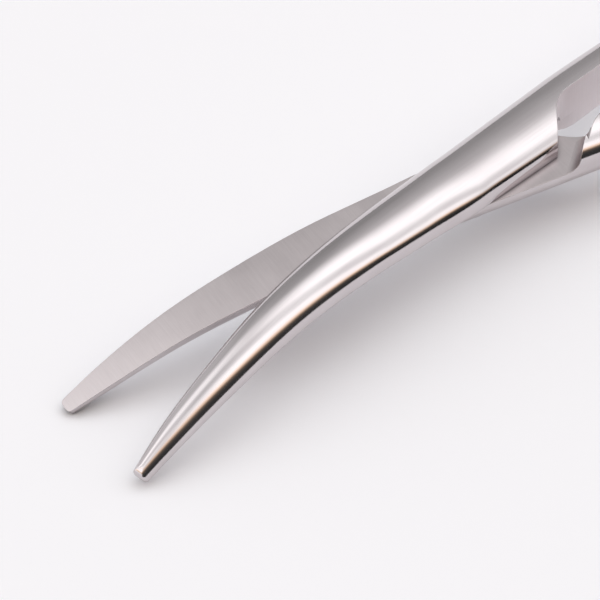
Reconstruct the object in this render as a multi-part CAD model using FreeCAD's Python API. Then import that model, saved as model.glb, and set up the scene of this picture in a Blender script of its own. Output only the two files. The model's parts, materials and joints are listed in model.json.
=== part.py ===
import FreeCAD, Part
import math
import os

# Curved dissecting scissors, lap jointed, lying open on a table.
# Each half is modelled closed, about the pivot, with its body above its inner face.
# The blade runs to -X and the shank to +X. The lower half is the same form turned over.
# Millimetres and degrees.

# Blade and inner face
pivot_to_tip = 43.0
flat_radius = 12.9
curve_radius = 61.0
inner_face_gap = 0.03
tip_half_width = 0.8
tip_corner_radius = 0.6
tip_height = 1.1
nose_radius = 0.7
blade_depth = 3.0

# Blade stations between the joint and the tip: share of the blade's free length,
# half width on the cutting side, half width on the spine side, height of the crown
blade_stations = (
    (0.167, 3.48, 3.04, 2.68),
    (0.357, 3.24, 2.50, 2.50),
    (0.548, 2.85, 1.98, 2.24),
    (0.738, 2.14, 1.70, 1.85),
    (0.881, 1.58, 1.28, 1.45),
)
spine_land = 0.3
edge_land = 0.2
bevel_angle = 8.0

# Lap joint
joint_half_width = 3.5
shoulder_half_width = 3.85
joint_height = 2.8
joint_land = 0.4
joint_distal = 1.0
joint_proximal = 15.0
lap_end = 8.9
lap_angle = 45.0
lap_corner_radius = 4.5
ramp_radius = 1.0
shoulder_gap = 0.1
wall_offset = 0.25

# Shank stations: share of the way from the joint to the ring, share of the way from
# the joint's wall to the ring's inner side, width, half height
shank_stations = (
    (0.215, 0.019, 3.25, 2.45),
    (0.479, 0.131, 3.10, 2.15),
    (0.694, 0.364, 3.20, 2.00),
    (0.843, 0.654, 3.60, 1.95),
    (0.934, 0.869, 4.90, 1.92),
    (1.000, 1.000, 7.60, 1.90),
)
shank_land = 0.5

# Finger ring: a round bar bent to an oval of four arcs
ring_centre_x = 88.0
ring_centre_y = 15.4
ring_inner_length = 24.0
ring_inner_width = 19.5
ring_end_radius = 10.2
ring_bar = 4.2
ring_turn = 12.0
neck_overlap = 0.5

# Pivot screw
screw_radius = 1.25
screw_bore_gap = 0.05
screw_depth = 1.6
screw_tip_chamfer = 0.3
thread_gap = 0.01
head_radius = 2.1
head_height = 1.0
head_gap = 0.06
head_proud = 0.05
head_edge = 0.15
slot_width = 0.55
slot_depth = 0.5

# Rest position
open_half_angle = 7.6

crown_points = 9
settling_steps = 4
clear = 12.0
Z_AXIS = FreeCAD.Vector(0, 0, 1)
X_AXIS = FreeCAD.Vector(1, 0, 0)
Y_AXIS = FreeCAD.Vector(0, 1, 0)
ORIGIN = FreeCAD.Vector(0, 0, 0)


def vec(x, y, z):
    return FreeCAD.Vector(x, y, z)


def curve_angle(distance):
    """Slope of the inner face at a distance from the pivot, in radians."""
    return math.asin(max(distance - flat_radius, 0.0) / curve_radius)


def inner_face_height(distance, bend):
    """Height of the inner face: flat round the pivot, then an arc."""
    return bend * curve_radius * (1.0 - math.cos(curve_angle(distance)))


def crown(spine, cut, spine_base, cut_base, height, bevel):
    """Points of the convex outer face, from the spine over the top to the cutting edge's bevel."""
    centre = (cut - spine) / 2.0
    half = (cut + spine) / 2.0
    sweep = math.radians(180.0 - bevel)
    points = []
    for index in range(crown_points):
        turn = sweep * index / (crown_points - 1)
        across = -math.cos(turn)
        base = spine_base + (cut_base - spine_base) * (across + 1.0) / 2.0
        points.append((centre + half * across, base + (height - base) * math.sin(turn)))
    return points


def spline(points):
    curve = Part.BSplineCurve()
    curve.interpolate(points)
    return curve.toShape()


def blade_section(distance, cut, spine, height, spine_base, cut_base, bevel, depth, bend):
    """One section, square to the curved inner face."""
    slope = bend * curve_angle(distance)
    start = vec(-distance, 0, inner_face_height(distance, bend))
    up = vec(math.sin(slope), 0, math.cos(slope))

    def place(across, above):
        return start + vec(0, across, 0) + up * above

    outline = [place(*point) for point in crown(spine, cut, spine_base, cut_base, height, bevel)]
    edge = place(cut, 0.0)
    low_cut = place(cut, -depth)
    low_spine = place(-spine, -depth)
    edges = [
        Part.makeLine(low_spine, outline[0]),
        spline(outline),
        Part.makeLine(outline[-1], edge),
        Part.makeLine(edge, low_cut),
        Part.makeLine(low_cut, low_spine),
    ]
    return Part.Wire(edges)


def blade(bend):
    """The curved blade, lofted from the joint to the tip and rounded there."""
    free = pivot_to_tip - joint_distal
    rows = [(joint_distal, joint_half_width, joint_half_width, joint_height, joint_land, joint_land, 0.0)]
    for share, cut, spine, height in blade_stations:
        rows.append((joint_distal + share * free, cut, spine, height, spine_land, edge_land, bevel_angle))
    rows.append((pivot_to_tip, tip_half_width, tip_half_width, tip_height, spine_land, edge_land, bevel_angle))
    sections = [blade_section(*row, blade_depth, bend) for row in rows]
    body = Part.makeLoft(sections, True, False)

    # Tip: round corners in plan and a round nose
    slope = bend * curve_angle(pivot_to_tip)
    width = 2.0 * tip_half_width + tip_corner_radius / 2.0
    kept = Part.makeBox(clear, width, clear, vec(0, -width / 2, -clear / 2))
    corners = [edge for edge in kept.Edges if edge.BoundBox.XMax < 0.01 and edge.BoundBox.ZLength > width]
    kept = kept.makeFillet(tip_corner_radius, corners)
    plan_cut = Part.makeBox(clear + tip_corner_radius, clear, clear, vec(-clear, -clear / 2, -clear / 2)).cut(kept)
    nose_block = Part.makeBox(clear, clear, clear, vec(-clear, -clear / 2, 0))
    nose_round = Part.makeCylinder(nose_radius, clear, vec(0, -clear / 2, 0), Y_AXIS)
    nose_cut = nose_block.cut(nose_round)
    nose_cut.translate(vec(nose_radius, 0, tip_height - nose_radius))
    for tool in (plan_cut, nose_cut):
        tool.rotate(ORIGIN, Y_AXIS, math.degrees(slope))
        tool.translate(vec(-pivot_to_tip, 0, inner_face_height(pivot_to_tip, bend)))
        body = body.cut(tool)
    return body


def below_inner_face(bend):
    """All that lies under the inner face, revolved about the pivot so that it turns clear."""
    reach = pivot_to_tip + 5.0
    lift = inner_face_gap / 2.0
    floor = -clear * 3
    outer = inner_face_height(reach, bend) + lift
    half_way = (flat_radius + reach) / 2.0
    edges = [
        Part.makeLine(vec(0, 0, floor), vec(0, 0, lift)),
        Part.makeLine(vec(0, 0, lift), vec(flat_radius, 0, lift)),
        Part.Arc(vec(flat_radius, 0, lift), vec(half_way, 0, inner_face_height(half_way, bend) + lift),
                 vec(reach, 0, outer)).toShape(),
        Part.makeLine(vec(reach, 0, outer), vec(reach, 0, floor)),
        Part.makeLine(vec(reach, 0, floor), vec(0, 0, floor)),
    ]
    return Part.Face(Part.Wire(edges)).revolve(ORIGIN, Z_AXIS, 360)


def past_lap_end():
    """The space beyond the diagonal end of the lap."""
    space = Part.makeBox(4 * clear, 2 * clear, clear, vec(-2 * clear, -2 * clear, 0))
    space.rotate(ORIGIN, Z_AXIS, lap_angle)
    space.translate(vec(lap_end, -joint_half_width, 0))
    return space


def past_ramp():
    """The space beyond the shoulder, which rises from the flat as a concave milled ramp."""
    angle = math.radians(lap_angle)
    along = vec(math.cos(angle), math.sin(angle), 0)
    out = vec(math.sin(angle), -math.cos(angle), 0)
    start = vec(lap_end, -joint_half_width, 0) + out * shoulder_gap - along * clear
    knee = math.sqrt(0.5) * ramp_radius

    def place(run, rise):
        return start + out * run + vec(0, 0, rise)

    edges = [
        Part.Arc(place(0, 0), place(knee, ramp_radius - knee), place(ramp_radius, ramp_radius)).toShape(),
        Part.makeLine(place(ramp_radius, ramp_radius), place(ramp_radius, clear)),
        Part.makeLine(place(ramp_radius, clear), place(2 * clear, clear)),
        Part.makeLine(place(2 * clear, clear), place(2 * clear, 0)),
        Part.makeLine(place(2 * clear, 0), place(0, 0)),
    ]
    return Part.Face(Part.Wire(edges)).extrude(along * 3 * clear)


def round_corner(run, side):
    """The sliver between the diagonal, the shank's wall and the round corner that joins them."""
    angle = math.radians(lap_angle)
    corner = vec(lap_end + run / math.sin(angle) + (wall_offset + joint_half_width) / math.tan(angle),
                 wall_offset, -side * clear / 2.0 - clear / 2.0)
    reach = lap_corner_radius * math.tan(angle / 2.0)
    on_line = corner + vec(-math.cos(angle), side * math.sin(angle), 0) * reach
    on_wall = corner + vec(reach, 0, 0)
    centre = on_wall + vec(0, side * lap_corner_radius, 0)
    middle = centre + (corner - centre).normalize() * lap_corner_radius
    edges = [
        Part.makeLine(on_line, corner),
        Part.makeLine(corner, on_wall),
        Part.Arc(on_wall, middle, on_line).toShape(),
    ]
    return Part.Face(Part.Wire(edges)).extrude(vec(0, 0, clear))


def joint_bar(start, end):
    """A length of the joint's half-round bar, above the middle plane, widening to the shank."""
    sections = []
    for place in (start, end):
        share = max(place, 0.0) / joint_proximal
        half_width = joint_half_width + (shoulder_half_width - joint_half_width) * share
        sections.append(blade_section(-place, half_width, half_width, joint_height,
                                      joint_land, joint_land, 0.0, 0.5, 0))
    under = Part.makeBox(4 * clear, 2 * clear, clear, vec(-2 * clear, -clear, -clear))
    return Part.makeLoft(sections, True, True).cut(under)


def joint():
    """The lapped half of the joint and the start of the full-height shank."""
    beside_wall = Part.makeBox(4 * clear, clear, 2 * clear, vec(-2 * clear, wall_offset - clear, -clear))
    beyond = past_lap_end().common(beside_wall).cut(round_corner(0.0, -1))
    front = joint_bar(-joint_distal, 0)
    lap = front.fuse(joint_bar(0, joint_proximal)).cut(beyond)

    shoulder = past_ramp()
    shoulder.rotate(ORIGIN, X_AXIS, 180)
    lower = joint_bar(0, joint_proximal).mirror(ORIGIN, Z_AXIS)
    lower = lower.common(shoulder).cut(beside_wall).cut(round_corner(shoulder_gap + ramp_radius, 1))
    return lap, lower


def mirrored_section(top):
    """A closed section from its upper points and the same points below."""
    low = [vec(p.x, p.y, -p.z) for p in reversed(top)]
    edges = [
        Part.makeLine(low[-1], top[0]),
        spline(top),
        Part.makeLine(top[-1], low[0]),
        spline(low),
    ]
    return Part.Wire(edges)


def shank_start():
    """The joint's own section at its end, as far as the inner wall."""
    points = crown(shoulder_half_width, shoulder_half_width, joint_land, joint_land, joint_height, 0.0)
    whole = Part.Face(mirrored_section([vec(joint_proximal, across, above) for across, above in points]))
    beside_wall = Part.makeBox(clear, clear, 2 * clear, vec(joint_proximal - clear / 2, wall_offset - clear, -clear))
    return whole.cut(beside_wall).Wires[0]


def shank_section(distance, wall, width, half_height):
    """A D section: a flat wall towards the other shank and a round outer side."""
    top = []
    for index in range(crown_points):
        turn = math.pi / 2 * index / (crown_points - 1)
        rise = shank_land + (half_height - shank_land) * math.cos(turn)
        top.append(vec(distance, wall + width * math.sin(turn), rise))
    return mirrored_section(top)


def shank():
    """The shank, lofted from the joint to the ring, which it meets inside the bar."""
    length = ring_centre_x - ring_inner_length / 2.0 - neck_overlap - joint_proximal
    swing = ring_centre_y - ring_inner_width / 2.0 - wall_offset
    sections = [shank_start()]
    for along, across, width, half_height in shank_stations:
        sections.append(shank_section(joint_proximal + along * length, wall_offset + across * swing,
                                      width, half_height))
    return Part.makeLoft(sections, True, False)


def ring():
    """A finger ring: a round bar carried round an oval of four tangent arcs."""
    half_length = (ring_inner_length + ring_bar) / 2.0
    half_width = (ring_inner_width + ring_bar) / 2.0
    end_centre = half_length - ring_end_radius
    side_radius = ((half_width ** 2 + end_centre ** 2 - ring_end_radius ** 2)
                   / (2.0 * (half_width - ring_end_radius)))
    side_centre = side_radius - half_width
    half_turn = math.degrees(math.atan2(side_centre, end_centre))
    pieces = []
    for side in (1, -1):
        pieces.append((vec(side * end_centre, 0, 0), ring_end_radius, 90 - 90 * side, half_turn))
        pieces.append((vec(0, -side * side_centre, 0), side_radius, 90 * side, 90 - half_turn))
    body = None
    for centre, radius, middle, reach in pieces:
        section = Part.makeCircle(ring_bar / 2.0, vec(radius, 0, 0), Y_AXIS)
        piece = Part.Face(Part.Wire([section])).revolve(ORIGIN, Z_AXIS, 2 * reach)
        piece.rotate(ORIGIN, Z_AXIS, middle - reach)
        piece.translate(centre)
        body = piece if body is None else body.fuse(piece)
    body.rotate(ORIGIN, Z_AXIS, ring_turn)
    body.translate(vec(ring_centre_x, ring_centre_y, 0))
    return body


def half(bend):
    """One half of the scissors, closed, with its body above its inner face."""
    lap, lower = joint()
    working_end = blade(bend).fuse(lap).cut(below_inner_face(bend))
    return working_end.fuse([lower, shank(), ring()]).removeSplitter()


def screw():
    """The pivot screw, head down: it turns in the lower half and is fixed in the upper."""
    head_top = -joint_height - head_proud + head_height
    head = Part.makeCylinder(head_radius, head_height, vec(0, 0, -joint_height - head_proud))
    rim = [edge for edge in head.Edges if edge.BoundBox.ZMax < head_top - head_height / 2.0]
    head = head.makeChamfer(head_edge, [edge for edge in rim if edge.isClosed() and len(edge.Vertexes) == 1])
    stem = Part.makeCylinder(screw_radius, screw_depth - head_top, vec(0, 0, head_top))
    end = [edge for edge in stem.Edges if edge.BoundBox.ZMin > screw_depth - 0.01]
    stem = stem.makeChamfer(screw_tip_chamfer, end)
    slot = Part.makeBox(4 * head_radius, slot_width, slot_depth,
                        vec(-2 * head_radius, -slot_width / 2.0, -joint_height - head_proud))
    return head.fuse(stem).cut(slot).removeSplitter()


def tilt_to_table(shapes):
    """Turn the opened halves about Y until the lower tip and the rings touch the table."""
    low_tip = inner_face_height(pivot_to_tip, -1) - tip_height
    ring_bottom = -ring_bar / 2.0
    angle = math.degrees(math.atan2(ring_bottom - low_tip, ring_centre_x + pivot_to_tip))
    big = 4 * (ring_centre_x + pivot_to_tip)
    front = Part.makeBox(big, big, big, vec(-big, -big / 2, -big / 2))
    tip_end = shapes[0].common(front)
    ring_end = shapes[0].cut(front)
    for _ in range(settling_steps):
        lowest = []
        for end in (tip_end, ring_end):
            turned = end.copy()
            turned.rotate(ORIGIN, Y_AXIS, angle)
            lowest.append(turned.optimalBoundingBox(False).ZMin)
        angle += math.degrees(math.atan2(lowest[1] - lowest[0], ring_centre_x + pivot_to_tip))
    for shape in shapes:
        shape.rotate(ORIGIN, Y_AXIS, angle)
    return angle


def main():
    upper = half(-1)
    lower = half(1)
    lower.rotate(ORIGIN, X_AXIS, 180)

    # Pivot: a bore through the lower half, a counterbore for the head, a blind hole in the upper
    head_top = -joint_height - head_proud + head_height
    bore = Part.makeCylinder(screw_radius + screw_bore_gap, 2 * clear, vec(0, 0, -clear))
    counterbore = Part.makeCylinder(head_radius + head_gap, clear, vec(0, 0, head_top + head_gap - clear))
    lower = lower.cut(bore).cut(counterbore)
    thread = Part.makeCylinder(screw_radius + thread_gap, screw_depth + thread_gap + clear, vec(0, 0, -clear))
    upper = upper.cut(thread)

    pivot_screw = screw()
    upper.rotate(ORIGIN, Z_AXIS, open_half_angle)
    pivot_screw.rotate(ORIGIN, Z_AXIS, open_half_angle)
    lower.rotate(ORIGIN, Z_AXIS, -open_half_angle)

    angle = tilt_to_table([lower, upper, pivot_screw])
    box = lower.optimalBoundingBox(False)
    box.add(upper.optimalBoundingBox(False))
    shift = vec(-(box.XMin + box.XMax) / 2.0, -(box.YMin + box.YMax) / 2.0, -box.ZMin)
    os.makedirs("parts", exist_ok=True)
    for name, shape in (("lower_half", lower), ("upper_half", upper), ("pivot_screw", pivot_screw)):
        shape.translate(shift)
        solid = shape.Solids[0] if len(shape.Solids) == 1 else shape
        print(name, "solids", len(shape.Solids), "valid", shape.isValid(), "volume", round(shape.Volume, 2))
        solid.exportStep(os.path.join("parts", name + ".step"))
    turn = math.radians(angle)
    print("tilt", round(angle, 4), "pivot", [round(v, 4) for v in shift])
    print("axis", [round(math.sin(turn), 6), 0.0, round(math.cos(turn), 6)])
    print("size", round(box.XLength, 3), round(box.YLength, 3), round(box.ZLength, 3))


main()
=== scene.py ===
import json
import math

import bmesh
import bpy
import numpy as np
from mathutils import Matrix, Vector


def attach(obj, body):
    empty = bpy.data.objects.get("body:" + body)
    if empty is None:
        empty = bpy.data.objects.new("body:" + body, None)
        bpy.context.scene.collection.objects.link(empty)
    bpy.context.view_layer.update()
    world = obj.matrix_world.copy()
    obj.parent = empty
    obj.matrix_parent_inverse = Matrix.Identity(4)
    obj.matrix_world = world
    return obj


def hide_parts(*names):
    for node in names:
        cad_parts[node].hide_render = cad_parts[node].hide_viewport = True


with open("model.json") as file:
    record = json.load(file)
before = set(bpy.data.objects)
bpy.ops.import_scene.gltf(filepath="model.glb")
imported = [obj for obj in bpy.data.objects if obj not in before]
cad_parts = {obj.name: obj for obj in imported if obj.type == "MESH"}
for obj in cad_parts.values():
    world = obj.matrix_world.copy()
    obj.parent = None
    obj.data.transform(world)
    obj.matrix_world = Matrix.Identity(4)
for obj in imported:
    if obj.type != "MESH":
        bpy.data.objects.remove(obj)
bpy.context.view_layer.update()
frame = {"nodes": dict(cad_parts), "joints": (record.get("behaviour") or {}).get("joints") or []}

# Upper and lower half
# Two forgings of one form, each a curved blade, half of the lap joint, a shank and a finger ring.
# They are stainless steel, polished to a mirror outside and ground satin across the inner faces.
# Sizes are in millimetres. A half is drawn closed, its pivot at the origin and its tip along -X.
MM = 0.001
PIVOT_TO_TIP = 43.0
FLAT_RADIUS = 12.9
CURVE_RADIUS = 61.0
FACE_GAP = 0.015
TIP_HALF_WIDTH = 0.8
TIP_CORNER_RADIUS = 0.6
TIP_HEIGHT = 1.1
NOSE_RADIUS = 0.7
# Share of the way to the tip, width to the cutting edge, width to the spine, height of the crown.
BLADE_STATIONS = (
    (0.167, 3.48, 3.04, 2.68),
    (0.357, 3.24, 2.50, 2.50),
    (0.548, 2.85, 1.98, 2.24),
    (0.738, 2.14, 1.70, 1.85),
    (0.881, 1.58, 1.28, 1.45),
)
SPINE_LAND = 0.3
EDGE_LAND = 0.2
BEVEL_ANGLE = 8.0
JOINT_HALF_WIDTH = 3.5
SHOULDER_HALF_WIDTH = 3.85
JOINT_HEIGHT = 2.8
JOINT_LAND = 0.4
JOINT_DISTAL = 1.0
JOINT_PROXIMAL = 15.0
LAP_END = 8.9
LAP_ANGLE = 45.0
LAP_CORNER_RADIUS = 4.5
RAMP_RADIUS = 1.0
SHOULDER_GAP = 0.1
WALL_OFFSET = 0.25
# Share of the length, share of the sweep outwards, width, half of the height.
SHANK_STATIONS = (
    (0.215, 0.019, 3.25, 2.45),
    (0.479, 0.131, 3.10, 2.15),
    (0.694, 0.364, 3.20, 2.00),
    (0.843, 0.654, 3.60, 1.95),
    (0.934, 0.869, 4.90, 1.92),
    (1.000, 1.000, 7.60, 1.90),
)
SHANK_LAND = 0.5
RING_CENTRE = (88.0, 15.4)
RING_INNER = (24.0, 19.5)
RING_END_RADIUS = 10.2
RING_BAR = 4.2
RING_TURN = 12.0
NECK_OVERLAP = 0.5
NECK_SUNK = 2.6
OPEN_HALF_ANGLE = 7.6
MILLED_FROM = 8.05

joint = frame["joints"][0]
pivot = Vector(joint["pos_m"])
tilt = math.atan2(joint["axis"][0], joint["axis"][2])


def smooth_through(places, values):
    """A smooth curve through the stations, monotone between them, as a lofted surface runs."""
    places = np.asarray(places, float)
    values = np.asarray(values, float)
    steps = np.diff(places)
    slopes = np.diff(values) / steps
    tangents = np.zeros_like(values)
    for index in range(1, len(values) - 1):
        if slopes[index - 1] * slopes[index] > 0:
            first = 2 * steps[index] + steps[index - 1]
            second = steps[index] + 2 * steps[index - 1]
            weighed = first / slopes[index - 1] + second / slopes[index]
            tangents[index] = (first + second) / weighed
    tangents[-1] = slopes[-1]

    def value(place):
        index = int(np.clip(np.searchsorted(places, place) - 1, 0, len(steps) - 1))
        share = np.clip((place - places[index]) / steps[index], 0.0, 1.0)
        square, cube = share * share, share ** 3
        return ((2 * cube - 3 * square + 1) * values[index]
                + (cube - 2 * square + share) * steps[index] * tangents[index]
                + (3 * square - 2 * cube) * values[index + 1]
                + (cube - square) * steps[index] * tangents[index + 1])
    return value


def face_angle(distance):
    """Slope of the inner face at a distance from the pivot."""
    return math.asin(max(distance - FLAT_RADIUS, 0.0) / CURVE_RADIUS)


def face_height(distance, bend):
    """Height of the inner face: flat round the pivot, then an arc."""
    return bend * CURVE_RADIUS * (1.0 - math.cos(face_angle(distance)))


def along_blade(joint_value, column, tip_value):
    """A blade size as a smooth function of the distance from the pivot."""
    free = PIVOT_TO_TIP - JOINT_DISTAL
    places = [JOINT_DISTAL + row[0] * free for row in BLADE_STATIONS]
    places = [JOINT_DISTAL] + places + [PIVOT_TO_TIP]
    inner = [row[column] if isinstance(column, int) else column(row) for row in BLADE_STATIONS]
    return smooth_through(places, [joint_value] + inner + [tip_value])


cut_width = along_blade(JOINT_HALF_WIDTH, 1, TIP_HALF_WIDTH)
spine_width = along_blade(JOINT_HALF_WIDTH, 2, TIP_HALF_WIDTH)
crown_height = along_blade(JOINT_HEIGHT, 3, TIP_HEIGHT)
spine_land = along_blade(JOINT_LAND, lambda row: SPINE_LAND, SPINE_LAND)
edge_land = along_blade(JOINT_LAND, lambda row: EDGE_LAND, EDGE_LAND)
bevel_angle = along_blade(0.0, lambda row: BEVEL_ANGLE, BEVEL_ANGLE)

LAP_POINTS = 24
OUTER_POINTS = 24
SPLIT = math.acos(-WALL_OFFSET / SHOULDER_HALF_WIDTH)


def crown(spine, cut, spine_base, cut_base, height, bevel):
    """Points of the convex outer face, from the spine over the top to the cutting edge's bevel."""
    centre, half = (cut - spine) / 2.0, (cut + spine) / 2.0
    turns = [SPLIT * index / LAP_POINTS for index in range(LAP_POINTS)]
    rest = math.pi - math.radians(bevel) - SPLIT
    turns += [SPLIT + rest * index / OUTER_POINTS for index in range(OUTER_POINTS + 1)]
    points = []
    for turn in turns:
        across = -math.cos(turn)
        base = spine_base + (cut_base - spine_base) * (across + 1.0) / 2.0
        points.append((centre + half * across, base + (height - base) * math.sin(turn)))
    return points


def blade_ring(distance, bend):
    """The closed outline of one blade section, square to the curved inner face."""
    cut, spine = cut_width(distance), spine_width(distance)
    outline = crown(spine, cut, spine_land(distance), edge_land(distance),
                    crown_height(distance), bevel_angle(distance))
    left = PIVOT_TO_TIP - distance
    if left < TIP_CORNER_RADIUS:
        kept = TIP_HALF_WIDTH + TIP_CORNER_RADIUS / 4.0 - TIP_CORNER_RADIUS
        kept += math.sqrt(TIP_CORNER_RADIUS ** 2 - (TIP_CORNER_RADIUS - left) ** 2)
        share = min(1.0, kept / max(cut, spine))
        outline = [(across * share, above) for across, above in outline]
        cut, spine = cut * share, spine * share
    if left < NOSE_RADIUS:
        top = TIP_HEIGHT - NOSE_RADIUS + math.sqrt(NOSE_RADIUS ** 2 - (NOSE_RADIUS - left) ** 2)
        outline = [(across, min(above, top)) for across, above in outline]
    slope = bend * face_angle(distance)
    base = Vector((-distance, 0.0, face_height(distance, bend)))
    up = Vector((math.sin(slope), 0.0, math.cos(slope)))
    points = [base + Vector((0, across, 0)) + up * above for across, above in outline]
    count = len(points)
    for index in range(count):
        across = cut - (cut + spine) * index / (count - 1)
        flat_z = face_height(math.hypot(distance, across), bend) + FACE_GAP
        points.append(Vector((-distance, across, flat_z)))
    return points


def bar_half_width(x):
    """The joint's bar widens evenly from the pivot to the shoulder."""
    wider = SHOULDER_HALF_WIDTH - JOINT_HALF_WIDTH
    return JOINT_HALF_WIDTH + wider * max(x, 0.0) / JOINT_PROXIMAL


def with_underside(top):
    """Closes the outline of an upper side with the same points below the middle plane."""
    return top + [Vector((point.x, point.y, -point.z)) for point in reversed(top)]


def bar_ring(x, milled):
    """The outline of the joint's bar: flat below where it is milled, else round."""
    half = bar_half_width(x)
    outline = crown(half, half, JOINT_LAND, JOINT_LAND, JOINT_HEIGHT, 0.0)
    top = [Vector((x, across, above)) for across, above in outline]
    if not milled:
        return with_underside(top)
    last = len(top) - 1
    flat = [half - 2 * half * index / last for index in range(last + 1)]
    return top + [Vector((x, across, FACE_GAP)) for across in flat]


WALL_MIDDLE = 0.01


def shank_ring(x, wall, width, half_height, land, inset):
    """A D section: a flat wall towards the other shank and a round outer side."""
    radius = width + inset
    start = math.asin(inset / radius)
    outer = []
    for index in range(OUTER_POINTS + 1):
        turn = start + (math.pi / 2 - start) * index / OUTER_POINTS
        across = wall - inset + radius * math.sin(turn)
        outer.append(Vector((x, across, land + (half_height - land) * math.cos(turn))))
    heights = [outer[0].z * index / LAP_POINTS + WALL_MIDDLE for index in range(LAP_POINTS)]
    return with_underside([Vector((x, wall, height)) for height in heights] + outer)


def shank_rings():
    """The outlines along a shank. The last is sheared, so that the shank runs into its ring."""
    length = RING_CENTRE[0] - RING_INNER[0] / 2.0 - NECK_OVERLAP - JOINT_PROXIMAL
    swing = RING_CENTRE[1] - RING_INNER[1] / 2.0 - WALL_OFFSET
    rows = [(0.0, 0.0, SHOULDER_HALF_WIDTH - WALL_OFFSET, JOINT_HEIGHT)]
    rows += list(SHANK_STATIONS)
    places = [JOINT_PROXIMAL + row[0] * length for row in rows]
    wall = smooth_through(places, [WALL_OFFSET + row[1] * swing for row in rows])
    width, tall = [smooth_through(places, [row[column] for row in rows]) for column in (2, 3)]
    land = smooth_through(places, [JOINT_LAND] + [SHANK_LAND] * len(SHANK_STATIONS))
    inset = smooth_through(places, [WALL_OFFSET] + [0.0] * len(SHANK_STATIONS))
    steps = 150
    rings = []
    for index in range(steps + 1):
        x = JOINT_PROXIMAL + (places[-1] - JOINT_PROXIMAL) * index / steps
        rings.append(shank_ring(x, wall(x), width(x), tall(x), land(x), inset(x)))
    step_back = 0.1
    slope = (wall(x) - wall(x - step_back)) / step_back
    for point in rings[-1]:
        sunk = NECK_SUNK * (1.0 - (point.y - wall(x)) / width(x))
        point.x += sunk
        point.y += sunk * slope
    return rings


SAME_PLACE = 1e-5


def grid_object(name, rings):
    """A closed skin over rings of points with the same count."""
    mesh = bmesh.new()
    rows = [[mesh.verts.new(point) for point in ring] for ring in rings]
    count = len(rows[0])
    for first, second in zip(rows, rows[1:]):
        for index in range(count):
            after = (index + 1) % count
            mesh.faces.new((first[index], first[after], second[after], second[index]))
    mesh.faces.new(rows[0])
    mesh.faces.new(rows[-1][::-1])
    bmesh.ops.remove_doubles(mesh, verts=mesh.verts, dist=SAME_PLACE)
    bmesh.ops.recalc_face_normals(mesh, faces=mesh.faces)
    data = bpy.data.meshes.new(name)
    mesh.to_mesh(data)
    mesh.free()
    thing = bpy.data.objects.new(name, data)
    bpy.context.scene.collection.objects.link(thing)
    return thing


def combine(thing, tool, operation):
    """Cuts the tool out of a solid, keeps what both share or joins them, and removes the tool."""
    modifier = thing.modifiers.new("combine", "BOOLEAN")
    modifier.operation = operation
    modifier.solver = "MANIFOLD"
    modifier.object = tool
    graph = bpy.context.evaluated_depsgraph_get()
    data = bpy.data.meshes.new_from_object(thing.evaluated_get(graph))
    thing.modifiers.clear()
    thing.data = data
    bpy.data.objects.remove(tool)


CORNER_STEPS = 12


def round_corner(run, side):
    """Points of the round corner between the lap's diagonal and the shank's wall."""
    angle = math.radians(LAP_ANGLE)
    x = LAP_END + run / math.sin(angle) + (WALL_OFFSET + JOINT_HALF_WIDTH) / math.tan(angle)
    corner = Vector((x, WALL_OFFSET))
    centre = corner + Vector((LAP_CORNER_RADIUS * math.tan(angle / 2), side * LAP_CORNER_RADIUS))
    points = []
    for index in range(CORNER_STEPS + 1):
        turn = angle * (1.0 - index / CORNER_STEPS)
        out = Vector((-math.sin(turn), -side * math.cos(turn)))
        points.append(centre + LAP_CORNER_RADIUS * out)
    return corner, points


BAR_START = -0.6
BAR_STEPS = 13
MILLED_STEP = 0.05
WALL_STEP = 0.01


def blade_body(bend):
    """Blade, joint bar and shank as one skin, from the tip to the ring."""
    rings = []
    tip_steps = 14
    for index in range(tip_steps + 1):
        turn = math.pi / 2 * index / tip_steps
        rings.append(blade_ring(PIVOT_TO_TIP - NOSE_RADIUS * (1.0 - math.cos(turn)), bend))
    blade_steps = 190
    start = PIVOT_TO_TIP - NOSE_RADIUS
    for index in range(1, blade_steps + 1):
        rings.append(blade_ring(start + (JOINT_DISTAL - start) * index / blade_steps, bend))
    for index in range(BAR_STEPS + 1):
        x = BAR_START + (MILLED_FROM - BAR_START) * index / BAR_STEPS
        rings.append(bar_ring(x, True))
    wall_start = round_corner(0.0, -1)[1][-1].x
    for index in range(BAR_STEPS + 1):
        whole = wall_start - MILLED_FROM - MILLED_STEP
        rings.append(bar_ring(MILLED_FROM + MILLED_STEP + whole * index / BAR_STEPS, False))
    for x in (wall_start + WALL_STEP, (wall_start + JOINT_PROXIMAL) / 2):
        width = bar_half_width(x) - WALL_OFFSET
        rings.append(shank_ring(x, WALL_OFFSET, width, JOINT_HEIGHT, JOINT_LAND, WALL_OFFSET))
    return grid_object("blade_body", rings + shank_rings())


def prism(name, outline, low, high):
    """A straight block over a flat outline."""
    return grid_object(name, [[Vector((x, y, z)) for x, y in outline] for z in (low, high)])


# The cutting tools reach well past the steel, and CLEAR keeps their faces off those of the skin.
CLEAR = 0.002
PAST_CORNER = 0.02
DEEP = 6.0
FAR_OUT = 14.0


def past_lap_end():
    """The space beyond the diagonal end of the lap, beside the shank's wall."""
    corner, arc = round_corner(0.0, -1)
    angle = math.radians(LAP_ANGLE)
    far = corner - Vector((math.cos(angle), math.sin(angle))) * FAR_OUT
    past = arc[-1].x + PAST_CORNER
    outline = [far] + arc + [Vector((past, WALL_OFFSET - CLEAR)), Vector((past, far.y))]
    return prism("past_lap_end", outline, -DEEP, DEEP)


RAMP_STEPS = 24
RAMP_RUN = 30.0
RAMP_ENDS = (-20.0, 40.0)


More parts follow.
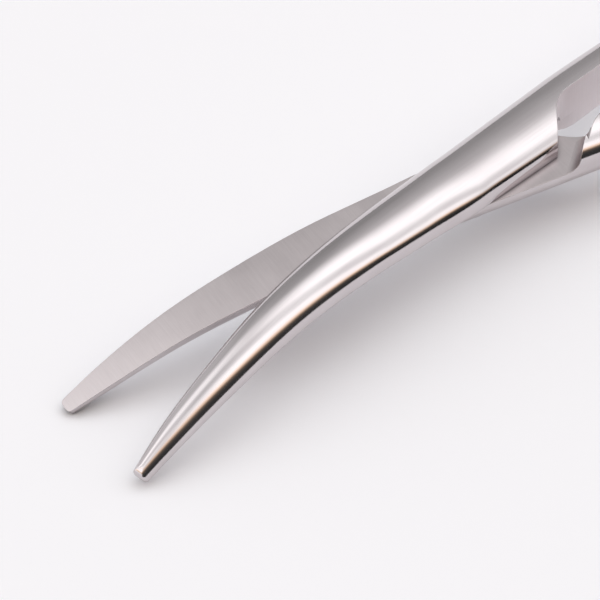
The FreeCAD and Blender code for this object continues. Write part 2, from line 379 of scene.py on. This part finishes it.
def past_ramp():
    """The space beyond the shoulder, which drops from the flat as a concave milled ramp."""
    angle = math.radians(LAP_ANGLE)
    along = Vector((math.cos(angle), math.sin(angle), 0))
    out = Vector((math.sin(angle), -math.cos(angle), 0))
    start = Vector((LAP_END, -JOINT_HALF_WIDTH, 0)) + out * SHOULDER_GAP
    profile = []
    for index in range(RAMP_STEPS + 1):
        turn = math.pi / 2 * index / RAMP_STEPS
        profile.append((RAMP_RADIUS * math.sin(turn), RAMP_RADIUS * (1 - math.cos(turn))))
    profile += [(RAMP_RADIUS, DEEP), (RAMP_RUN, DEEP), (RAMP_RUN, -1.0), (0.0, -1.0)]
    rings = []
    for shift in RAMP_ENDS:
        end = start + along * shift
        rings.append([end + out * run + Vector((0, 0, rise)) for run, rise in profile])
    thing = grid_object("past_ramp", rings)
    thing.data.transform(Matrix.Rotation(math.pi, 4, "X"))
    return thing


def box_object(name, low, high):
    """A straight block between two opposite corners."""
    (left, near, bottom), (right_side, back, top) = low, high
    outline = [(left, near), (right_side, near), (right_side, back), (left, back)]
    return prism(name, outline, bottom, top)


def milled_away():
    """What is milled away under the lap: all below the flat, up to the ramp of the shoulder."""
    shoulder = past_ramp()
    beside = box_object("beside", (-40.0, WALL_OFFSET - CLEAR, -20.0), (60.0, 20.0, 20.0))
    combine(shoulder, beside, "INTERSECT")
    corner, arc = round_corner(SHOULDER_GAP + RAMP_RADIUS, 1)
    under = corner - Vector((0.0, 1.0))
    before = arc[0].x - 1.0
    outline = arc + [Vector((arc[-1].x, under.y)), Vector((before, under.y)),
                     Vector((before, arc[0].y + 1.0))]
    combine(shoulder, prism("sliver", outline, -20.0, -RAMP_RADIUS), "DIFFERENCE")
    tool = box_object("milled", (MILLED_FROM, -8.0, -12.0), (22.0, 8.0, FACE_GAP - CLEAR))
    combine(tool, shoulder, "DIFFERENCE")
    return tool


ARC_STEPS = 30
RING_SIDES = 48


def ring_path():
    """Points of the oval middle line of a finger ring: four tangent arcs."""
    half_length = (RING_INNER[0] + RING_BAR) / 2
    half_width = (RING_INNER[1] + RING_BAR) / 2
    end_centre = half_length - RING_END_RADIUS
    side_radius = half_width ** 2 + end_centre ** 2 - RING_END_RADIUS ** 2
    side_radius /= 2 * (half_width - RING_END_RADIUS)
    side_centre = side_radius - half_width
    half_turn = math.atan2(side_centre, end_centre)
    place = Matrix.Translation((*RING_CENTRE, 0)) @ Matrix.Rotation(math.radians(RING_TURN), 4, "Z")
    points = []
    arcs = ((RING_END_RADIUS, end_centre, 0), (side_radius, 0, -side_centre),
            (RING_END_RADIUS, -end_centre, 0), (side_radius, 0, side_centre))
    for quarter, (radius, centre_x, centre_y) in enumerate(arcs):
        reach = half_turn if quarter % 2 == 0 else math.pi / 2 - half_turn
        for index in range(ARC_STEPS):
            turn = quarter * math.pi / 2 - reach + 2 * reach * index / ARC_STEPS
            x, y = centre_x + radius * math.cos(turn), centre_y + radius * math.sin(turn)
            points.append(place @ Vector((x, y, 0)))
    return points


def ring_tree():
    """Carries a round section of a given size along a closed path."""
    tree = bpy.data.node_groups.new("RoundBar", "GeometryNodeTree")
    for socket_name, kind in (("Path", "Geometry"), ("Bar radius", "Float"), ("Sides", "Int"),
                              ("Finish", "Material")):
        tree.interface.new_socket(socket_name, in_out="INPUT", socket_type="NodeSocket" + kind)
    tree.interface.new_socket("Bar", in_out="OUTPUT", socket_type="NodeSocketGeometry")
    entry = tree.nodes.new("NodeGroupInput")
    curve = tree.nodes.new("GeometryNodeMeshToCurve")
    section = tree.nodes.new("GeometryNodeCurvePrimitiveCircle")
    bar = tree.nodes.new("GeometryNodeCurveToMesh")
    real = tree.nodes.new("GeometryNodeRealizeInstances")
    finish = tree.nodes.new("GeometryNodeSetMaterial")
    leave = tree.nodes.new("NodeGroupOutput")
    for source, target in ((entry.outputs["Path"], curve.inputs["Mesh"]),
                           (entry.outputs["Bar radius"], section.inputs["Radius"]),
                           (entry.outputs["Sides"], section.inputs["Resolution"]),
                           (curve.outputs["Curve"], bar.inputs["Curve"]),
                           (section.outputs["Curve"], bar.inputs["Profile Curve"]),
                           (bar.outputs["Mesh"], real.inputs["Geometry"]),
                           (real.outputs["Geometry"], finish.inputs["Geometry"]),
                           (entry.outputs["Finish"], finish.inputs["Material"]),
                           (finish.outputs["Geometry"], leave.inputs["Bar"])):
        tree.links.new(source, target)
    return tree


RING_TREE = ring_tree()


def ring_object(material):
    """A finger ring, bent from the end of the forging to an oval."""
    points = ring_path()
    count = len(points)
    data = bpy.data.meshes.new("ring_path")
    data.from_pydata(points, [(index, (index + 1) % count) for index in range(count)], [])
    thing = bpy.data.objects.new("ring_object", data)
    bpy.context.scene.collection.objects.link(thing)
    modifier = thing.modifiers.new("bar", "NODES")
    modifier.node_group = RING_TREE
    sockets = {item.name: item.identifier for item in RING_TREE.interface.items_tree}
    modifier[sockets["Bar radius"]] = RING_BAR / 2
    modifier[sockets["Sides"]] = RING_SIDES
    modifier[sockets["Finish"]] = material
    graph = bpy.context.evaluated_depsgraph_get()
    made = bpy.data.meshes.new_from_object(thing.evaluated_get(graph))
    thing.modifiers.clear()
    thing.data = made
    return thing


# How far off its surface a face's middle may lie, and how squarely the face has to look a way.
FACE_MARGIN, SKIN_MARGIN, SIDE_MARGIN = 0.03, 0.05, 0.06
LOOKS_DOWN, LOOKS_INWARDS, LOOKS_ASIDE = -0.5, -0.9, 0.8
NECK_LENGTH = 4.0


def on_outer_skin(point, normal, bend):
    """True where a face belongs to the polished outside, in the closed half's own place."""
    distance = math.hypot(point.x, point.y)
    if point.x < -JOINT_DISTAL:
        above_face = point.z - face_height(distance, bend) - FACE_GAP
        return abs(above_face) > FACE_MARGIN or normal.z > LOOKS_DOWN
    if point.x > JOINT_PROXIMAL:
        neck = RING_CENTRE[0] - RING_INNER[0] / 2 - NECK_LENGTH
        return normal.y > LOOKS_INWARDS or point.x > neck
    half = bar_half_width(point.x)
    side = math.sqrt(max(1.0 - (point.y / half) ** 2, 0.0))
    skin = JOINT_LAND + (JOINT_HEIGHT - JOINT_LAND) * side
    at_side = abs(abs(point.y) - half) < SIDE_MARGIN and abs(normal.y) > LOOKS_ASIDE
    return abs(abs(point.z) - skin) < SKIN_MARGIN or at_side


def new_group(name, inputs, outputs):
    """An empty shader group with named sockets, and its two end nodes."""
    group = bpy.data.node_groups.new(name, "ShaderNodeTree")
    for socket_name, kind, value in inputs:
        socket = group.interface.new_socket(socket_name, in_out="INPUT", socket_type=kind)
        if value is not None:
            socket.default_value = value
    for socket_name, kind in outputs:
        group.interface.new_socket(socket_name, in_out="OUTPUT", socket_type=kind)
    return group, group.nodes.new("NodeGroupInput"), group.nodes.new("NodeGroupOutput")


def fine_lines_group():
    """Fine ground or buffed lines: noise stretched along one direction, with soft patches."""
    group, entry, leave = new_group(
        "FineLines",
        [("Vector", "NodeSocketVector", None), ("Across", "NodeSocketFloat", 9000.0),
         ("Along", "NodeSocketFloat", 300.0), ("Patches", "NodeSocketFloat", 250.0)],
        [("Lines", "NodeSocketFloat"), ("Patches", "NodeSocketFloat")])
    stretch = group.nodes.new("ShaderNodeCombineXYZ")
    group.links.new(entry.outputs["Across"], stretch.inputs[0])
    group.links.new(entry.outputs["Along"], stretch.inputs[1])
    group.links.new(entry.outputs["Along"], stretch.inputs[2])
    scaled = group.nodes.new("ShaderNodeVectorMath")
    scaled.operation = "MULTIPLY"
    group.links.new(entry.outputs["Vector"], scaled.inputs[0])
    group.links.new(stretch.outputs[0], scaled.inputs[1])
    lines = group.nodes.new("ShaderNodeTexNoise")
    lines.inputs["Scale"].default_value = 1.0
    lines.inputs["Detail"].default_value = 3.0
    lines.inputs["Roughness"].default_value = 0.65
    group.links.new(scaled.outputs[0], lines.inputs["Vector"])
    patches = group.nodes.new("ShaderNodeTexNoise")
    patches.inputs["Detail"].default_value = 2.0
    group.links.new(entry.outputs["Vector"], patches.inputs["Vector"])
    group.links.new(entry.outputs["Patches"], patches.inputs["Scale"])
    group.links.new(lines.outputs["Fac"], leave.inputs["Lines"])
    group.links.new(patches.outputs["Fac"], leave.inputs["Patches"])
    return group


FINE_LINES = fine_lines_group()


def remap(tree, source, low, high, start=0.3, end=0.7):
    """Spreads a value from start to end over low to high. Noise lies mostly in 0.3 to 0.7."""
    node = tree.nodes.new("ShaderNodeMapRange")
    tree.links.new(source, node.inputs["Value"])
    node.inputs["From Min"].default_value = start
    node.inputs["From Max"].default_value = end
    node.inputs["To Min"].default_value = low
    node.inputs["To Max"].default_value = high
    return node.outputs[0]


# Painted shade for inner corners, gaps and faces close above the floor: its colour, the most of it
# that is laid on, and the occlusion levels at which it is full and at which it is gone.
PAINTED_SHADE_COLOUR = (0.12, 0.10, 0.105)
PAINTED_SHADE_STRENGTH = 0.8
PAINTED_SHADE_SHUT, PAINTED_SHADE_OPEN = 0.35, 0.8


def steel(name, turn, dark, light, rough, across, along, lift, edge, corner):
    """One steel finish. turn is the direction, in degrees about Z, that its fine lines are square
    to, across and along how many there are to a metre, and lift their depth in metres. edge is
    the radius of a broken edge, and corner how far a painted shade reaches into inner corners
    and gaps: there the base colour is darkened by an ambient-occlusion test, in place of shade."""
    material = bpy.data.materials.new(name)
    material.use_nodes = True
    tree = material.node_tree
    shader = tree.nodes["Principled BSDF"]
    shader.inputs["Metallic"].default_value = 1.0
    coordinates = tree.nodes.new("ShaderNodeTexCoord")
    mapping = tree.nodes.new("ShaderNodeMapping")
    mapping.inputs["Rotation"].default_value = (0.0, 0.0, math.radians(-turn))
    tree.links.new(coordinates.outputs["Object"], mapping.inputs["Vector"])
    lines = tree.nodes.new("ShaderNodeGroup")
    lines.node_tree = FINE_LINES
    tree.links.new(mapping.outputs[0], lines.inputs["Vector"])
    lines.inputs["Across"].default_value = across
    lines.inputs["Along"].default_value = along
    tone = tree.nodes.new("ShaderNodeMath")
    tone.operation = "ADD"
    tree.links.new(remap(tree, lines.outputs["Lines"], 0.0, 0.5), tone.inputs[0])
    tree.links.new(remap(tree, lines.outputs["Patches"], 0.0, 0.5), tone.inputs[1])
    colour = tree.nodes.new("ShaderNodeMix")
    colour.data_type = "RGBA"
    tree.links.new(tone.outputs[0], colour.inputs["Factor"])
    colour.inputs["A"].default_value = (*dark, 1.0)
    colour.inputs["B"].default_value = (*light, 1.0)
    # Painted shade: an ambient-occlusion test darkens the base colour in inner corners, in the gaps
    # between the parts and where a face lies close above the floor.
    painted_shade_test = tree.nodes.new("ShaderNodeAmbientOcclusion")
    painted_shade_test.samples = 8
    painted_shade_test.inputs["Distance"].default_value = corner
    painted_shade_mix = tree.nodes.new("ShaderNodeMix")
    painted_shade_mix.data_type = "RGBA"
    painted_shade_amount = remap(tree, painted_shade_test.outputs["AO"], PAINTED_SHADE_STRENGTH, 0.0, PAINTED_SHADE_SHUT, PAINTED_SHADE_OPEN)
    tree.links.new(painted_shade_amount, painted_shade_mix.inputs["Factor"])
    tree.links.new(colour.outputs["Result"], painted_shade_mix.inputs["A"])
    painted_shade_mix.inputs["B"].default_value = (*PAINTED_SHADE_COLOUR, 1.0)
    tree.links.new(painted_shade_mix.outputs["Result"], shader.inputs["Base Color"])
    tree.links.new(remap(tree, lines.outputs["Patches"], *rough), shader.inputs["Roughness"])
    rounded = tree.nodes.new("ShaderNodeBevel")
    rounded.samples = 4
    rounded.inputs["Radius"].default_value = edge
    bump = tree.nodes.new("ShaderNodeBump")
    bump.inputs["Strength"].default_value = 1.0
    bump.inputs["Distance"].default_value = lift
    tree.links.new(lines.outputs["Lines"], bump.inputs["Height"])
    tree.links.new(rounded.outputs["Normal"], bump.inputs["Normal"])
    tree.links.new(bump.outputs["Normal"], shader.inputs["Normal"])
    return material


SHARP_ANGLE = 26.0


def build_half(name, bend, polished, satin, milled):
    """One closed half with its body above its inner face, then turned to its open place."""
    thing = blade_body(bend)
    combine(thing, milled_away(), "DIFFERENCE")
    combine(thing, past_lap_end(), "DIFFERENCE")
    combine(thing, ring_object(polished), "UNION")
    thing.name = name
    data = thing.data
    data.materials.clear()
    for finish in (polished, satin, milled):
        data.materials.append(finish)
    for face in data.polygons:
        outside = on_outer_skin(face.center, face.normal, bend)
        wall = face.center.x > LAP_END and abs(face.normal.y) > LOOKS_ASIDE
        face.material_index = 0 if outside else 2 if wall else 1
        face.use_smooth = True
    data.set_sharp_from_angle(angle=math.radians(SHARP_ANGLE))
    side = 1 if bend < 0 else -1
    place = Matrix.Rotation(math.radians(OPEN_HALF_ANGLE) * side, 4, "Z")
    if side < 0:
        place = place @ Matrix.Rotation(math.pi, 4, "X")
    lying = Matrix.Translation(pivot) @ Matrix.Rotation(tilt, 4, "Y") @ Matrix.Scale(MM, 4)
    data.transform(lying @ place)
    data.update()
    return thing


POLISHED_DARK = (0.575, 0.53, 0.54)
POLISHED_LIGHT = (0.63, 0.59, 0.60)
SATIN_DARK = (0.52, 0.472, 0.48)
SATIN_LIGHT = (0.60, 0.55, 0.557)
# The milled wall's colour is much lighter than the other steel's: a painted reflection, standing in
# for the brighter light this wall gives back. Its rougher finish and its lines are its own.
MILLED_BRIGHTENED_DARK = (0.78, 0.725, 0.73)
MILLED_BRIGHTENED_LIGHT = (0.85, 0.79, 0.80)
for name, bend, side in (("lower", 1, -1), ("upper", -1, 1)):
    turn = OPEN_HALF_ANGLE * side
    polished = steel(name + "_polished", turn + 90, POLISHED_DARK, POLISHED_LIGHT,
                     rough=(0.08, 0.13), across=9000, along=150, lift=1e-6,
                     edge=1.2e-4, corner=1.6e-3)
    satin = steel(name + "_satin", turn, SATIN_DARK, SATIN_LIGHT,
                  rough=(0.28, 0.36), across=9000, along=350, lift=2.5e-6,
                  edge=0.8e-4, corner=1.0e-3)
    milled = steel(name + "_milled", turn, MILLED_BRIGHTENED_DARK, MILLED_BRIGHTENED_LIGHT,
                   rough=(0.42, 0.50), across=9000, along=350, lift=2.5e-6,
                   edge=0.0, corner=0.3e-3)
    half = build_half(name + "_half_forged", bend, polished, satin, milled)
    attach(half, name)
    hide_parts(name + "_half")

# Pivot screw
# A turned and slotted steel screw with its head in the lower half. Its solid is shown as it is,
# in a plain turned finish.
SCREW_DARK = (0.54, 0.52, 0.51)
SCREW_LIGHT = (0.62, 0.60, 0.59)
# Like the other steel, the screw's finish darkens its corners with painted shade.
screw_steel = steel("screw_turned", 0, SCREW_DARK, SCREW_LIGHT,
                    rough=(0.14, 0.22), across=3000, along=3000, lift=2e-6,
                    edge=1e-4, corner=0.5e-3)
screw = frame["nodes"]["pivot_screw"]
screw.data.materials.clear()
screw.data.materials.append(screw_steel)

# Floor
# A plain pale sheet, 3 metres wide, that the scissors lie on. It is matt, so it mirrors nothing,
# and the steel mirrors it in the colour that the camera sees.
FLOOR_SIZE = 3.0
FLOOR_COLOUR = (0.945, 0.955, 1.0)
floor_data = bpy.data.meshes.new("floor")
half_floor = FLOOR_SIZE / 2
floor_corners = [(-half_floor, -half_floor, 0), (half_floor, -half_floor, 0),
                 (half_floor, half_floor, 0), (-half_floor, half_floor, 0)]
floor_data.from_pydata(floor_corners, [], [(0, 1, 2, 3)])
floor = bpy.data.objects.new("floor", floor_data)
bpy.context.scene.collection.objects.link(floor)
floor_paint = bpy.data.materials.new("floor_paint")
floor_paint.use_nodes = True
floor_tree = floor_paint.node_tree
floor_tree.nodes.clear()
floor_shader = floor_tree.nodes.new("ShaderNodeBsdfDiffuse")
floor_shader.inputs["Color"].default_value = (*FLOOR_COLOUR, 1)
floor_out = floor_tree.nodes.new("ShaderNodeOutputMaterial")
floor_tree.links.new(floor_shader.outputs[0], floor_out.inputs[0])
floor_data.materials.append(floor_paint)

# Camera
# A long lens, 0.4 metres off and 45 degrees above the table, aimed at the blades. Its focal
# length and its shift are in pixels of a frame that is 600 pixels wide.
CAMERA_TURN = 37.48
CAMERA_LIFT = 45.45
CAMERA_ROLL = -1.64
CAMERA_DISTANCE = 0.379
FOCAL_PIXELS = 4145.0
SENSOR_WIDTH = 36.0
FRAME_PIXELS = 600.0
AIM_FROM_PIVOT = Vector((-20.0, 0.0, 0.0)) * MM
SHIFT_PIXELS = (-0.6, -19.5)
turn, lift = math.radians(CAMERA_TURN), math.radians(CAMERA_LIFT)
level = Vector((math.sin(turn), math.cos(turn), 0))
forward = level * math.cos(lift) - Vector((0, 0, 1)) * math.sin(lift)
right = Vector((math.cos(turn), -math.sin(turn), 0))
above = level * math.sin(lift) + Vector((0, 0, 1)) * math.cos(lift)
camera_data = bpy.data.cameras.new("camera")
camera_data.lens = FOCAL_PIXELS * SENSOR_WIDTH / FRAME_PIXELS
camera_data.sensor_width = SENSOR_WIDTH
camera_data.clip_start = 0.01
camera_data.shift_x = -SHIFT_PIXELS[0] / FRAME_PIXELS
camera_data.shift_y = SHIFT_PIXELS[1] / FRAME_PIXELS
camera = bpy.data.objects.new("camera", camera_data)
facing = Matrix((right, above, -forward)).transposed().to_4x4()
stand = Matrix.Translation(pivot + AIM_FROM_PIVOT - forward * CAMERA_DISTANCE)
camera.matrix_world = stand @ facing @ Matrix.Rotation(math.radians(CAMERA_ROLL), 4, "Z")
bpy.context.scene.collection.objects.link(camera)
bpy.context.scene.camera = camera

# Studio light
# A white room with two long soft boxes under its ceiling, side to side over the table, a pale
# wall at the left and a dark end on the camera's side. It is a world light, so all of it is soft.
LIGHT_LEVEL = 1.15
# The ceiling's brightness by its place, in heights of the room past the table.
CEILING = (
    (-1.60, 0.04), (-1.00, 0.10), (-0.86, 0.17), (-0.74, 0.45), (-0.64, 0.85), (-0.54, 1.20),
    (-0.42, 1.38), (-0.25, 1.36), (-0.15, 1.15), (-0.07, 0.95), (0.01, 0.93), (0.09, 1.02),
    (0.17, 1.22), (0.27, 1.42), (0.40, 1.40), (0.50, 1.30), (0.62, 1.08), (0.75, 0.84),
    (0.88, 0.68), (1.00, 0.60), (1.40, 0.53), (2.10, 0.48), (3.70, 0.44), (6.00, 0.44),
)
# What is left of it, and what the left wall gives, by how far a ray leans to the right.
SIDEWAYS = (
    (-1.00, 1.10), (-0.75, 1.10), (-0.60, 0.95), (-0.42, 0.88), (-0.26, 0.74), (-0.08, 0.88),
    (0.08, 1.02), (0.30, 1.14), (0.50, 1.08), (0.80, 1.05), (0.90, 0.92), (0.96, 0.50),
    (1.00, 0.30),
)
LEFT_END = (
    (-1.00, 1.10), (-0.85, 0.85), (-0.70, 0.66), (-0.60, 0.60), (-0.45, 0.35), (-0.30, 0.10),
    (-0.20, 0.00), (1.00, 0.00),
)
# How far the light turns from plain to warm, by the place on the ceiling.
WARMTH = ((-1.60, 0.0), (-1.00, 0.6), (-0.72, 1.0), (-0.45, 0.25), (-0.20, 0.0), (6.00, 0.0))
WARM, PLAIN = (1.0, 0.74, 0.54), (1.0, 1.0, 1.0)
LOWEST_RISE = 0.02
ACROSS_ROOM = (-1.0, 1.0)
world = bpy.data.worlds.new("studio")
bpy.context.scene.world = world
world.use_nodes = True
sky = world.node_tree


def sky_math(operation, first, second):
    """A sum on two numbers, each of them fixed or read from another node."""
    node = sky.nodes.new("ShaderNodeMath")
    node.operation = operation
    for socket, value in zip(node.inputs, (first, second)):
        if isinstance(value, (int, float)):
            socket.default_value = value
        else:
            sky.links.new(value, socket)
    return node.outputs[0]


def sky_along(direction):
    """How far the ray's direction runs along the given one."""
    node = sky.nodes.new("ShaderNodeVectorMath")
    node.operation = "DOT_PRODUCT"
    sky.links.new(sky_place.outputs["Generated"], node.inputs[0])
    node.inputs[1].default_value = direction
    return node.outputs["Value"]


def sky_curve(source, stops, span):
    """A smooth value read off a few stops."""
    node = sky.nodes.new("ShaderNodeFloatCurve")
    low, high = span
    top = max(value for _, value in stops)
    curve = node.mapping.curves[0]
    while len(curve.points) < len(stops):
        curve.points.new(0.5, 0.5)
    for point, (place, value) in zip(curve.points, stops):
        point.location = ((place - low) / (high - low), value / top)
        point.handle_type = "AUTO_CLAMPED"
    node.mapping.extend = "HORIZONTAL"
    node.mapping.update()
    share = sky_math("DIVIDE", sky_math("SUBTRACT", source, low), high - low)
    sky.links.new(share, node.inputs["Value"])
    return sky_math("MULTIPLY", node.outputs["Value"], top)


sky_place = sky.nodes.new("ShaderNodeTexCoord")
upward = sky_math("MAXIMUM", sky_along((0, 0, 1)), LOWEST_RISE)
ceiling_ends = (CEILING[0][0], CEILING[-1][0])
ceiling_place = sky_math("DIVIDE", sky_along(tuple(level)), upward)
ceiling_place = sky_math("MAXIMUM", ceiling_place, ceiling_ends[0])
ceiling_place = sky_math("MINIMUM", ceiling_place, ceiling_ends[1])
ceiling = sky_curve(ceiling_place, CEILING, ceiling_ends)
sideways = sky_curve(sky_along(tuple(right)), SIDEWAYS, ACROSS_ROOM)
left_end = sky_curve(sky_along(tuple(right)), LEFT_END, ACROSS_ROOM)
strength = sky_math("MAXIMUM", sky_math("MULTIPLY", ceiling, sideways), left_end)
room = sky.nodes["Background"]
sky.links.new(sky_math("MULTIPLY", strength, LIGHT_LEVEL), room.inputs["Strength"])
tint = sky.nodes.new("ShaderNodeMix")
tint.data_type = "RGBA"
tint.inputs["A"].default_value = (*PLAIN, 1.0)
tint.inputs["B"].default_value = (*WARM, 1.0)
sky.links.new(sky_curve(ceiling_place, WARMTH, ceiling_ends), tint.inputs["Factor"])
sky.links.new(tint.outputs["Result"], room.inputs["Color"])

bpy.context.scene.view_settings.view_transform = "Standard"
